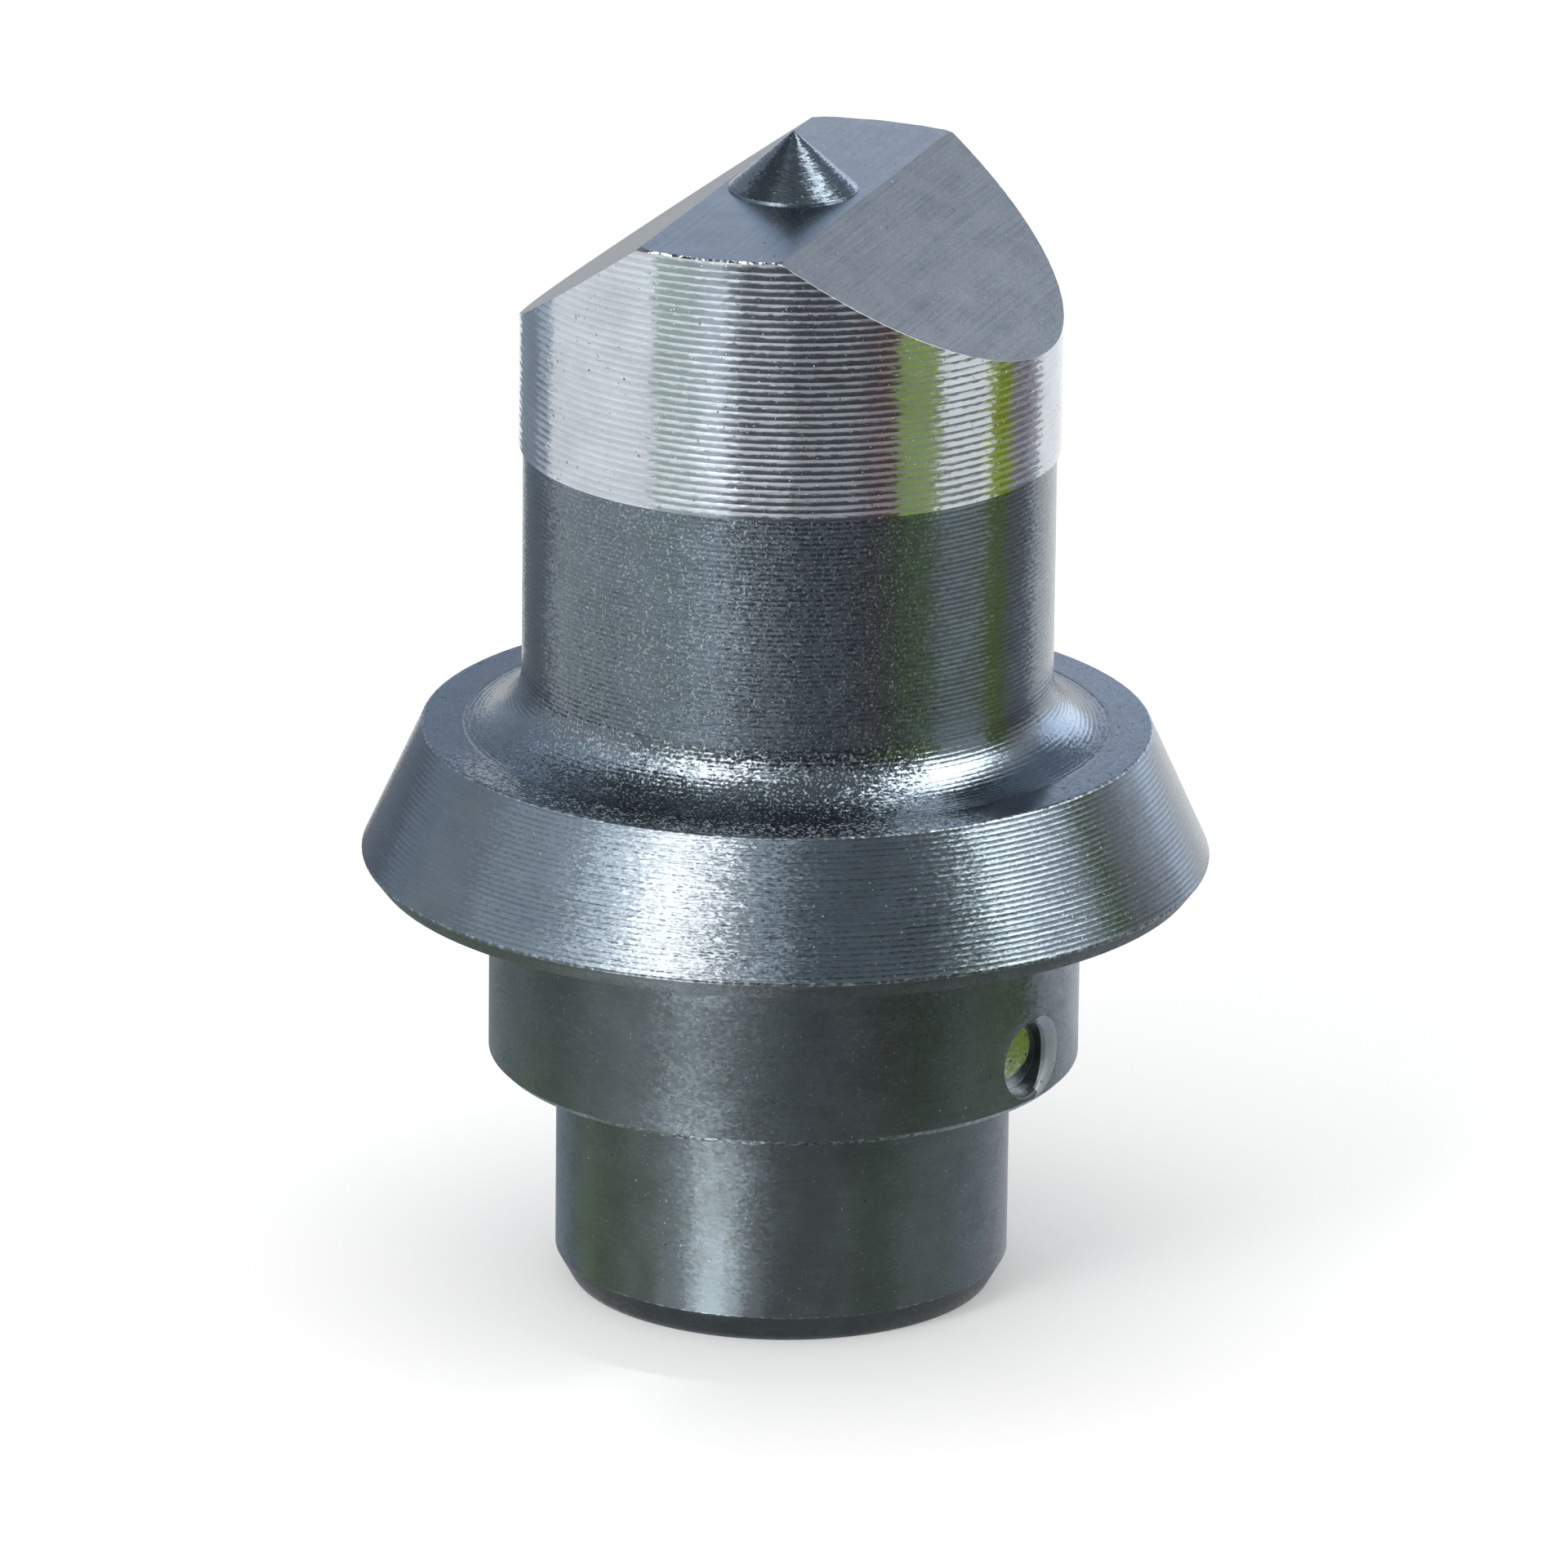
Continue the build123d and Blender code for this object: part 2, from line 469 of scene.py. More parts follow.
# The mouth of the hole. The screw has worn it on its +Y side: there the rolled edge is wider and
# deeper by these many times its radius, which fall away round the mouth with this power, and the
# metal is scuffed from this share of the hole's radius on.
WEAR_WIDTH = 5
WEAR_DEPTH = 1.2
WEAR_POWER = 4
SCUFFED_FROM = 0.4
MOUTH_ROLL = np.radians([30, 60, 90])
PATCH_SHARES = (0.0, 0.5, 1.0)
# The rings at the foot of the hole's wall and on its floor: their reach, as a share of the hole's
# radius, and how far they lie above the floor
FLOOR_RINGS = ((1.0, 0.04 * MM, BORE_AND_SHADE), (0.98, 0.0, BORE_AND_SHADE), (0.0, 0.0, FLOOR))


def seat_stations():
    """Heights of the seat's rows: even steps past the hole, then one long one."""
    return SEAT.foot + HOLE_PATCH_STEP * np.arange(HOLE_PATCH_ROWS + 1)


def hole_skin(sizes, angles):
    """The locating hole and the piece of the seat's wall round it.

    Rings go from the square edge of the patch to the round mouth, over the mouth's rolled edge,
    down the hole's wall and in to the middle of its floor, which is a plane that lies deeper at
    its -Y side.
    """
    heights = seat_stations()
    middle = np.argmin(np.abs(angles))
    span = angles[middle - HOLE_PATCH_COLUMNS:middle + HOLE_PATCH_COLUMNS + 1]
    side = SEAT.radius * np.sin(span)
    square = np.vstack([
        np.stack([side[:-1], np.full(len(side) - 1, heights[0])], axis=1),
        np.stack([np.full(len(heights) - 1, side[-1]), heights[:-1]], axis=1),
        np.stack([side[:0:-1], np.full(len(side) - 1, heights[-1])], axis=1),
        np.stack([np.full(len(heights) - 1, side[0]), heights[:0:-1]], axis=1),
    ])
    count = len(square)
    first_corner = radians(-135)
    bearing = first_corner + 2 * pi * np.arange(count) / count
    spoke = np.stack([np.cos(bearing), np.sin(bearing)], axis=1)
    centre = np.array([0.0, HOLE_AXIS_Z])
    worn = ((1 + spoke[:, :1]) / 2) ** WEAR_POWER
    edge = sizes.hole_edge * (1 + WEAR_WIDTH * worn)
    sink = sizes.hole_edge * (1 + WEAR_DEPTH * worn)
    mouth = centre + (HOLE_RADIUS + edge) * spoke
    rings, kinds = [], []
    for share in PATCH_SHARES:
        flat = (1 - share) * square + share * mouth
        rings.append(np.column_stack([np.sqrt(SEAT.radius ** 2 - flat[:, 0] ** 2), flat]))
        kinds.append(SHANK)
    for roll in MOUTH_ROLL:
        flat = centre + (HOLE_RADIUS + edge * (1 - sin(roll))) * spoke
        outer = np.sqrt(SEAT.radius ** 2 - flat[:, 0] ** 2) - sink[:, 0] * (1 - cos(roll))
        rings.append(np.column_stack([outer, flat]))
        kinds.append(SCUFFED)
    for reach, rise, kind in FLOOR_RINGS:
        flat = centre + reach * HOLE_RADIUS * spoke
        floor_x = HOLE_FLOOR_X + tan(sizes.hole_lean) * flat[:, 0]
        rings.append(np.column_stack([floor_x + rise, flat]))
        kinds.append(kind)
    skin = skin_of_rows(np.array(rings), np.array(kinds[1:]))
    sideways = skin.points[skin.triangles].mean(axis=1)[:, 1]
    unworn = (skin.finishes == SCUFFED) & (sideways < SCUFFED_FROM * HOLE_RADIUS)
    return skin._replace(finishes=np.where(unworn, BORE_AND_SHADE, skin.finishes))


def without_hole_patch(skin, sizes):
    """A turned skin less the triangles in the patch round the locating hole."""
    middle = skin.points[skin.triangles].mean(axis=1)
    low, high = seat_stations()[[0, -1]]
    reach = 2 * pi / sizes.columns * HOLE_PATCH_COLUMNS
    inside = np.abs(np.arctan2(middle[:, 1], middle[:, 0])) < reach
    inside &= (middle[:, 2] > low) & (middle[:, 2] < high)
    on_seat = np.abs(np.hypot(middle[:, 0], middle[:, 1]) - SEAT.radius) < ON_SEAT
    keep = ~(inside & on_seat)
    return Skin(skin.points, skin.triangles[keep], skin.finishes[keep])


def land_skin(sizes, roof, angles, rng):
    """The turned land, less what both slopes grind away and a hair for the worn cutting edge."""
    marks = Marks(sizes.land_feed, sizes.mark_depth, DEEP_MARK)
    foot, top = (LAND.radius, LAND.foot), (LAND.radius, LAND.top - sizes.ridge_wear)
    stations = straight_run(foot, top, marks, rng)
    skin = turned_skin(stations, np.full(len(stations) - 1, BRIGHT), angles)
    for side in (1, -1):
        skin = ground_away(skin, *roof.plane(side, sizes.cutting_edge))
    return welded([skin])


# The least and the most of its stated width that the worn cutting edge has
WEAR_SHARES = (0.6, 1.4)

# The centre point: steps round it, how blunt its tip is, the round of its rim and its marks
POINT_COLUMNS = 96
POINT_BLUNT = 0.08 * MM
POINT_ROUND = 0.05 * MM
POINT_MARKS = Marks(0.18 * MM, 0.006 * MM, FAINT_MARK)


def roof_skin(sizes, roof, land, rng):
    """The worn edge, both slopes and the ridge, out of rings between the land and the point."""
    edges = open_edges(land)
    rim = land.points[np.unique(edges)]
    rim = rim[rim[:, 2] > LAND.foot + WELD]
    angles = np.arctan2(rim[:, 1], rim[:, 0])
    order = np.argsort(angles)
    rim, angles = rim[order], angles[order]
    on_ridge = roof.beyond(rim) <= 0
    wear = np.where(on_ridge, sizes.ridge_wear, sizes.cutting_edge)
    wear = wear * rng.uniform(*WEAR_SHARES, len(angles))
    outer_radius = np.hypot(rim[:, 0], rim[:, 1]) - wear
    outer = ring_points(outer_radius, 0.0, angles)
    outer[:, 2] = roof.height(outer)
    crease = ring_points(np.minimum(roof.crease_radius(angles), outer_radius), roof.top, angles)
    crease[:, 2] = roof.height(crease)
    worn = skin_of_rows(np.array([rim, outer]), np.array([GROUND]))
    worn = worn._replace(finishes=np.where(np.repeat(on_ridge, 2), GLINT_BEADS, GROUND))
    slopes = skin_of_rows(np.array([outer, crease]), np.array([GROUND]))
    foot = ring_points(sizes.point_radius, roof.top, even_angles(POINT_COLUMNS))
    ridge = stitched_rings(crease, foot, RIDGE)
    return welded([worn, slopes, ridge])


def point_skin(sizes, rng):
    """The centre point: an upright rim, then a cone to a slightly blunt tip."""
    rise = TIP_Z - LAND.top - sizes.point_rim
    corners = [
        Corner(sizes.point_radius, LAND.top),
        Corner(sizes.point_radius, LAND.top + sizes.point_rim, POINT_ROUND),
        Corner(POINT_BLUNT, TIP_Z - POINT_BLUNT * rise / sizes.point_radius),
        Corner(0.0, TIP_Z - 0.5 * POINT_BLUNT),
    ]
    runs = [Run(POINT), Run(POINT, POINT_MARKS), Run(POINT)]
    return turned_skin(*turned_profile(corners, runs, rng), even_angles(POINT_COLUMNS))


WEAR_SEED = 24


def punch_skin(sizes):
    """The whole punch as one closed skin."""
    rng = np.random.default_rng(WEAR_SEED)
    angles = even_angles(sizes.columns)
    roof = Roof(sizes)
    body = without_hole_patch(turned_skin(*body_profile(sizes, rng), angles), sizes)
    land = land_skin(sizes, roof, angles, rng)
    return welded([body, hole_skin(sizes, angles), land, roof_skin(sizes, roof, land, rng),
                   point_skin(sizes, rng)])


# A mesh edge sharper than this shows as an edge, and crests between turning marks don't.
SHARP_EDGE = radians(27)


def mesh_object(name, points, triangles):
    """A mesh object at the origin, linked to the scene."""
    mesh = bpy.data.meshes.new(name)
    mesh.from_pydata(points, [], triangles)
    mesh.update()
    made = bpy.data.objects.new(name, mesh)
    bpy.context.scene.collection.objects.link(made)
    return made


def add_node(tree, kind, settings=None, inputs=None):
    """Adds a node with its settings, and gives each named input a value or a link."""
    made = tree.nodes.new(kind)
    for name, value in (settings or {}).items():
        setattr(made, name, value)
    for socket, value in (inputs or {}).items():
        if isinstance(value, bpy.types.NodeSocket):
            tree.links.new(value, made.inputs[socket])
        else:
            made.inputs[socket].default_value = value
    return made


def new_material(name):
    """An empty material, its node tree, and the Object coordinates in it."""
    material = bpy.data.materials.new(name)
    material.use_nodes = True
    tree = material.node_tree
    tree.nodes.clear()
    place = add_node(tree, "ShaderNodeTexCoord").outputs["Object"]
    return material, tree, place


def scaled(tree, place, sizes, turn=0.0):
    """Object coordinates in units of a pattern's three sizes, turned about Z first."""
    turned = add_node(tree, "ShaderNodeMapping", {"vector_type": "POINT"},
                      {"Vector": place, "Rotation": (0.0, 0.0, -turn)})
    return add_node(tree, "ShaderNodeVectorMath", {"operation": "DIVIDE"},
                    {0: turned.outputs["Vector"], 1: sizes}).outputs["Vector"]


def along_the_turning(tree, place):
    """Object coordinates with the height less the distance from the axis in place of Z.

    That difference grows along every turned surface, so a pattern that is fine in it makes
    rings on a face as well as on a wall.
    """
    level = add_node(tree, "ShaderNodeVectorMath", {"operation": "MULTIPLY"}, {
        0: place, 1: (1.0, 1.0, 0.0)})
    reach = add_node(tree, "ShaderNodeVectorMath", {"operation": "LENGTH"}, {
        0: level.outputs["Vector"]})
    lowered = add_node(tree, "ShaderNodeCombineXYZ", None, {"Z": reach.outputs["Value"]})
    return add_node(tree, "ShaderNodeVectorMath", {"operation": "SUBTRACT"}, {
        0: place, 1: lowered.outputs["Vector"]}).outputs["Vector"]


# Where the tool was chattering, which is also the side where the key lamp's highlight falls: the
# middle of that side as a level unit vector, which is 74 degrees from +X towards -Y, and the
# cosines at which the chattering begins and is at its full strength
CHATTER_AND_KEY_LIT_SIDE = (cos(radians(-74)), sin(radians(-74)), 0.0)
CHATTER_AND_KEY_LIT_COSINES = (0.55, 0.8)


def chatter_and_key_lit_side(tree, place):
    """From 0, away from the side of the tool's chattering and the key lamp's highlight, to 1 on
    it.
    """
    level = add_node(tree, "ShaderNodeVectorMath", {"operation": "MULTIPLY"}, {
        0: place, 1: (1.0, 1.0, 0.0)})
    way = add_node(tree, "ShaderNodeVectorMath", {"operation": "NORMALIZE"}, {
        0: level.outputs["Vector"]})
    cosine = add_node(tree, "ShaderNodeVectorMath", {"operation": "DOT_PRODUCT"}, {
        0: way.outputs["Vector"], 1: CHATTER_AND_KEY_LIT_SIDE})
    return add_node(tree, "ShaderNodeMapRange", {"interpolation_type": "SMOOTHSTEP"}, {
        "Value": cosine.outputs["Value"], "From Min": CHATTER_AND_KEY_LIT_COSINES[0],
        "From Max": CHATTER_AND_KEY_LIT_COSINES[1]}).outputs["Result"]


# The grain and the finest tool lines of such steel are about 0.01 mm wide, too fine to show in
# the render. They are drawn 0.05 to 0.2 mm wide, as coarse as they need to be to show. So are
# the facets, which are really the grain's own small flats.
Speck = namedtuple("Speck", "size level colour softness roughness chattered",
                   defaults=(0.03, 0.6, False))
Facets = namedtuple("Facets", "size tilt stretch calm", defaults=(1.0, 1.0))

# How many times as long as wide the tool's lines are, and a grinding wheel's straight ones along
# their lay and into the metal
RING_STRETCH = 60
SCRATCH_STRETCH = (120, 20)
# Soft clouds of oil and scale, and the least and the most that they leave of the colour
CLOUD_SIZE = 2.5 * MM
CLOUD_SHADES = (0.9, 1.08)
# The values between which most of a noise lies, for the clouds and lines and for the grain
NOISE_SPAN = (0.3, 0.7)
GRAIN_SPAN = (0.35, 0.65)
# A quarter turn, which lays a highlight's smear across the lines
ACROSS = 0.25


def steel(name, base, roughness, uneven, lines, spread, grain, facets, specks=(), lay=None,
          streakiness=0.07):
    """A bare steel surface.

    base is its colour, roughness and uneven its gloss and how much that varies. lines is (size,
    depth) of its fine tool lines, and spread how far they smear a highlight across themselves.
    grain is (size, depth) of its fine pits. Facets are the small flats that sparkle because each
    one leans its own way, by up to half their tilt: they are stretch times as long round the
    axis as they are high, and calm is what is left of their tilt away from the side of the
    tool's chattering and the key lamp's highlight. Specks lie where a noise of their size passes
    their level, and those marked chattered on that side alone, where their pale colour is a
    painted glint. streakiness is how far the colour varies from line to line. lay turns
    straight lines from Y; without it the lines run round the axis.
    """
    material, tree, place = new_material(name)
    grain_size, grain_depth = grain
    line_size, line_depth = lines
    speckle = add_node(tree, "ShaderNodeTexNoise", {"noise_dimensions": "3D"}, {
        "Vector": scaled(tree, place, (grain_size,) * 3), "Scale": 1.0, "Detail": 2.0,
        "Roughness": 0.6})
    if lay is None:
        ringed = along_the_turning(tree, place)
        line_length = line_size * RING_STRETCH
        lined = scaled(tree, ringed, (line_length, line_length, line_size))
    else:
        ringed = place
        along, inward = SCRATCH_STRETCH
        lined = scaled(tree, place, (line_size, line_size * along, line_size * inward), lay)
    streaks = add_node(tree, "ShaderNodeTexNoise", {"noise_dimensions": "3D"}, {
        "Vector": lined, "Scale": 1.0, "Detail": 2.0, "Roughness": 0.7})
    clouds = add_node(tree, "ShaderNodeTexNoise", {"noise_dimensions": "3D"}, {
        "Vector": scaled(tree, place, (CLOUD_SIZE,) * 3), "Scale": 1.0, "Detail": 3.0})
    shade = add_node(tree, "ShaderNodeMapRange", None, {
        "Value": clouds.outputs["Fac"], "From Min": NOISE_SPAN[0], "From Max": NOISE_SPAN[1],
        "To Min": CLOUD_SHADES[0], "To Max": CLOUD_SHADES[1]})
    streak_shade = add_node(tree, "ShaderNodeMapRange", None, {
        "Value": streaks.outputs["Fac"], "From Min": NOISE_SPAN[0], "From Max": NOISE_SPAN[1],
        "To Min": 1 - streakiness, "To Max": 1 + streakiness})
    both = add_node(tree, "ShaderNodeMath", {"operation": "MULTIPLY"}, {
        0: shade.outputs["Result"], 1: streak_shade.outputs["Result"]})
    tint = add_node(tree, "ShaderNodeVectorMath", {"operation": "SCALE"}, {
        0: base, "Scale": both.outputs["Value"]}).outputs["Vector"]
    gloss = add_node(tree, "ShaderNodeMapRange", None, {
        "Value": speckle.outputs["Fac"], "From Min": GRAIN_SPAN[0], "From Max": GRAIN_SPAN[1],
        "To Min": roughness - uneven, "To Max": roughness + uneven}).outputs["Result"]
    for speck in specks:
        scatter = add_node(tree, "ShaderNodeTexNoise", {"noise_dimensions": "3D"}, {
            "Vector": scaled(tree, place, (speck.size,) * 3), "Scale": 1.0, "Detail": 1.0})
        here = add_node(tree, "ShaderNodeMapRange", None, {
            "Value": scatter.outputs["Fac"], "From Min": speck.level,
            "From Max": speck.level + speck.softness}).outputs["Result"]
        if speck.chattered:
            here = add_node(tree, "ShaderNodeMath", {"operation": "MULTIPLY"}, {
                0: here, 1: chatter_and_key_lit_side(tree, place)}).outputs["Value"]
        tint = add_node(tree, "ShaderNodeMix", {"data_type": "RGBA"}, {
            "Factor": here, "A": tint, "B": (*linear(speck.colour), 1.0)}).outputs["Result"]
        gloss = add_node(tree, "ShaderNodeMix", {"data_type": "FLOAT"}, {
            "Factor": here, "A": gloss, "B": speck.roughness}).outputs["Result"]
    ruts = add_node(tree, "ShaderNodeBump", None, {
        "Height": streaks.outputs["Fac"], "Distance": line_depth, "Strength": 1.0})
    pits = add_node(tree, "ShaderNodeBump", None, {
        "Height": speckle.outputs["Fac"], "Distance": grain_depth, "Strength": 1.0,
        "Normal": ruts.outputs["Normal"]})
    long_size = facets.size * facets.stretch
    crystals = add_node(tree, "ShaderNodeTexVoronoi", {"voronoi_dimensions": "3D"}, {
        "Vector": scaled(tree, ringed, (long_size, long_size, facets.size)), "Scale": 1.0})
    lean = add_node(tree, "ShaderNodeVectorMath", {"operation": "SUBTRACT"}, {
        0: crystals.outputs["Color"], 1: (0.5, 0.5, 0.5)})
    tilt = facets.tilt
    if facets.calm < 1:
        tilt = add_node(tree, "ShaderNodeMapRange", None, {
            "Value": chatter_and_key_lit_side(tree, place), "To Min": facets.calm * facets.tilt,
            "To Max": facets.tilt}).outputs["Result"]
    leaned = add_node(tree, "ShaderNodeVectorMath", {"operation": "SCALE"}, {
        0: lean.outputs["Vector"], "Scale": tilt})
    leaning = add_node(tree, "ShaderNodeVectorMath", {"operation": "ADD"}, {
        0: leaned.outputs["Vector"], 1: pits.outputs["Normal"]})
    facing = add_node(tree, "ShaderNodeVectorMath", {"operation": "NORMALIZE"}, {
        0: leaning.outputs["Vector"]})
    shader_inputs = {
        "Base Color": tint, "Metallic": 1.0, "Roughness": gloss,
        "Normal": facing.outputs["Vector"], "Anisotropic": spread}
    if lay is None:
        round_axis = add_node(tree, "ShaderNodeVectorMath", {"operation": "CROSS_PRODUCT"}, {
            0: (0.0, 0.0, 1.0), 1: place})
        along = add_node(tree, "ShaderNodeVectorMath", {"operation": "NORMALIZE"}, {
            0: round_axis.outputs["Vector"]})
        shader_inputs["Tangent"] = along.outputs["Vector"]
        shader_inputs["Anisotropic Rotation"] = ACROSS
    shader = add_node(tree, "ShaderNodeBsdfPrincipled", None, shader_inputs)
    add_node(tree, "ShaderNodeOutputMaterial", None, {"Surface": shader.outputs["BSDF"]})
    return material


def turned_bright_steel(finishes):
    """Hardened tool steel turned with a round-nosed tool: bright, banded by its marks."""
    return steel("turned_bright_steel", finishes.bright_steel, 0.14, 0.03,
                 lines=(0.05 * MM, 0.0006 * MM), spread=0.2, grain=(0.1 * MM, 0.0012 * MM),
                 facets=Facets(0.12 * MM, 0.05, 3.0),
                 specks=(Speck(0.11 * MM, 0.74, "#e4e8ec"), Speck(0.22 * MM, 0.75, "#6f767d"),
                         Speck(0.3 * MM, 0.75, "#8a6a4c")))


def turned_neck_steel(finishes):
    """Turned tool steel left grey from hardening: dark and soft, with rows of faint dashes."""
    return steel("turned_neck_steel", finishes.neck_steel, 0.22, 0.05,
                 lines=(0.1 * MM, 0.0015 * MM), spread=0.42, grain=(0.1 * MM, 0.004 * MM),
                 facets=Facets(0.1 * MM, 0.15, 2.0, 0.5),
                 # The pale specks on the key-lit side are painted glints
                 specks=(Speck(0.12 * MM, 0.57, "#929ba2", 0.12, 0.4, True),))


def turned_fillet_steel(finishes):
    """The fillet at the neck's foot: a coarse sparkle on the side of the tool's chattering and the
    key lamp's highlight, with pale specks there as painted glints; rings beyond.
    """
    return steel("turned_fillet_steel", finishes.dark_steel, 0.18, 0.04,
                 lines=(0.12 * MM, 0.004 * MM), spread=0.2, grain=(0.12 * MM, 0.005 * MM),
                 facets=Facets(0.12 * MM, 0.25, 1.3, 0.3),
                 # The pale specks on the key-lit side are painted glints
                 specks=(Speck(0.13 * MM, 0.56, "#99a2a9", 0.1, 0.45, True),))


def turned_cone_steel(finishes):
    """The collar's cone, grey from hardening, with clear marks."""
    return steel("turned_cone_steel", finishes.dark_steel, 0.22, 0.05,
                 lines=(0.1 * MM, 0.003 * MM), spread=0.2, grain=(0.12 * MM, 0.004 * MM),
                 facets=Facets(0.1 * MM, 0.12, 1.8, 0.4),
                 specks=(Speck(0.12 * MM, 0.78, "#b4bac0"),))


def faced_dark_steel(finishes):
    """The collar's upper face, faced and grey from hardening."""
    return steel("faced_dark_steel", finishes.dark_steel, 0.17, 0.03,
                 lines=(0.15 * MM, 0.001 * MM), spread=0.0, grain=(0.12 * MM, 0.0015 * MM),
                 facets=Facets(0.13 * MM, 0.26, 1.3, 0.1),
                 specks=(Speck(0.3 * MM, 0.72, "#3c4550"),
                         # The pale specks on the key-lit side are painted glints
                         Speck(0.14 * MM, 0.55, "#b9c2c8", 0.08, 0.55, True)))


def turned_shank_steel(finishes):
    """Seat and spigot, turned fine and oiled: smoother and darker."""
    return steel("turned_shank_steel", finishes.shank_steel, 0.31, 0.04,
                 lines=(0.08 * MM, 0.002 * MM), spread=0.35, grain=(0.12 * MM, 0.004 * MM),
                 facets=Facets(0.12 * MM, 0.1, 1.5),
                 specks=(Speck(1.6 * MM, 0.5, "#53585a", 0.4, 0.36),
                         Speck(0.13 * MM, 0.74, "#9aa2a8"), Speck(0.3 * MM, 0.79, "#3c3632")))


def ground_steel(finishes, turn):
    """Steel from a grinding wheel: even grey with fine straight scratches along the ridge."""
    return steel("ground_steel", finishes.ground_steel, 0.4, 0.05,
                 lines=(0.09 * MM, 0.008 * MM), spread=0.0, grain=(0.1 * MM, 0.002 * MM),
                 facets=Facets(0.12 * MM, 0.07), lay=turn, streakiness=0.18,
                 specks=(Speck(2.0 * MM, 0.45, "#8b8c90", 0.4, 0.42),
                         Speck(0.14 * MM, 0.74, "#c3c8cd"), Speck(0.25 * MM, 0.76, "#6c5a50")))


def faced_ridge_steel(finishes, turn):
    """The ridge's flat, faced smooth: half a mirror, with faint straight lines."""
    return steel("faced_ridge_steel", finishes.faced_steel, 0.19, 0.02,
                 lines=(0.15 * MM, 0.0003 * MM), spread=0.0, grain=(0.2 * MM, 0.0003 * MM),
                 facets=Facets(0.2 * MM, 0.01), lay=turn,
                 specks=(Speck(0.25 * MM, 0.75, "#5c6874"),))


def turned_point_steel(finishes):
    """The centre point, turned rough and grey from hardening."""
    return steel("turned_point_steel", finishes.dark_steel, 0.22, 0.06,
                 lines=(0.06 * MM, 0.002 * MM), spread=0.2, grain=(0.1 * MM, 0.006 * MM),
                 facets=Facets(0.11 * MM, 0.14, 2.0), specks=(Speck(0.12 * MM, 0.74, "#b4bac0"),))


def drilled_steel(finishes):
    """The locating hole's wall and the collar's bevel: rough from the tool, and darker than the
    shank's steel as painted shade in the hole and under the collar.
    """
    return steel("drilled_steel", finishes.drilled_steel, 0.5, 0.06,
                 lines=(0.1 * MM, 0.004 * MM), spread=0.0, grain=(0.15 * MM, 0.014 * MM),
                 facets=Facets(0.13 * MM, 0.15), streakiness=0.15,
                 specks=(Speck(1.2 * MM, 0.5, "#454c50", 0.3, 0.35),))


def cut_floor_steel(finishes):
    """The locating hole's floor, cut after hardening: bright as a mirror, with two dark nicks."""
    return steel("cut_floor_steel", finishes.cut_steel, 0.12, 0.03,
                 lines=(0.1 * MM, 0.0004 * MM), spread=0.0, grain=(0.2 * MM, 0.002 * MM),
                 facets=Facets(0.2 * MM, 0.02), specks=(Speck(0.45 * MM, 0.66, "#5c6569"),))


def scuffed_steel(finishes):
    """The locating hole's lip, worn to matt bare metal by the screw."""
    return steel("scuffed_steel", finishes.scuffed_steel, 0.5, 0.05,
                 lines=(0.1 * MM, 0.001 * MM), spread=0.0, grain=(0.15 * MM, 0.003 * MM),
                 facets=Facets(0.15 * MM, 0.1), specks=(Speck(0.3 * MM, 0.7, "#5c6569"),))


def burred_steel(finishes):
    """Edges that the tool has rolled up: a ragged pale line with dull gaps, whose pale specks are
    partly painted highlight along the edge.
    """
    return steel("burred_steel", finishes.dark_steel, 0.3, 0.08,
                 lines=(0.08 * MM, 0.002 * MM), spread=0.0, grain=(0.2 * MM, 0.02 * MM),
                 facets=Facets(0.15 * MM, 0.2),
                 # The pale specks are partly painted highlight along the edge
                 specks=(Speck(0.3 * MM, 0.48, "#98a0a6", 0.2, 0.4),))


def beaded_steel(finishes):
    """The worn ends of the ridge, with a row of bright beads whose white specks are painted
    glints.
    """
    return steel("beaded_steel", finishes.faced_steel, 0.3, 0.05,
                 lines=(0.08 * MM, 0.002 * MM), spread=0.0, grain=(0.2 * MM, 0.01 * MM),
                 facets=Facets(0.25 * MM, 0.3),
                 # The white specks are painted glints
                 specks=(Speck(0.26 * MM, 0.48, "#ffffff", 0.06, 0.7),
                         Speck(0.22 * MM, 0.54, "#50565c", 0.04, 0.4)))


class PUNCH_OT_body(bpy.types.Operator):
    """Build the punch as one closed piece and give every tool's surface its finish"""
    bl_idname = "punch.body"
    bl_label = "Punch body"

    def execute(self, context):
        sizes, finishes = context.scene.punch_sizes, context.scene.punch_finishes
        skin = punch_skin(sizes)
        if len(open_edges(skin)) or volume(skin) <= 0:
            raise RuntimeError("the punch's skin isn't closed, or faces inwards")
        body = mesh_object("punch", skin.points, skin.triangles)
        mesh = body.data
        mesh.polygons.foreach_set("material_index", skin.finishes.astype(np.int32))
        # Marking the sharp edges makes every face smooth, so the flat faces are set after it.
        mesh.set_sharp_from_angle(angle=SHARP_EDGE)
        mesh.polygons.foreach_set("use_smooth", ~np.isin(skin.finishes, (GROUND, RIDGE)))
        turn = sizes.ridge_turn
        for material in (
            turned_bright_steel(finishes),
            turned_fillet_steel(finishes),
            turned_cone_steel(finishes),
            faced_dark_steel(finishes),
            turned_shank_steel(finishes),
            ground_steel(finishes, turn),
            faced_ridge_steel(finishes, turn),
            turned_point_steel(finishes),
            drilled_steel(finishes),
            burred_steel(finishes),
            beaded_steel(finishes),
            scuffed_steel(finishes),
            turned_neck_steel(finishes),
            cut_floor_steel(finishes),
        ):
            mesh.materials.append(material)
        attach(body, "root")
        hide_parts(NODE)
        print("punch triangles", len(skin.triangles))
        return {"FINISHED"}


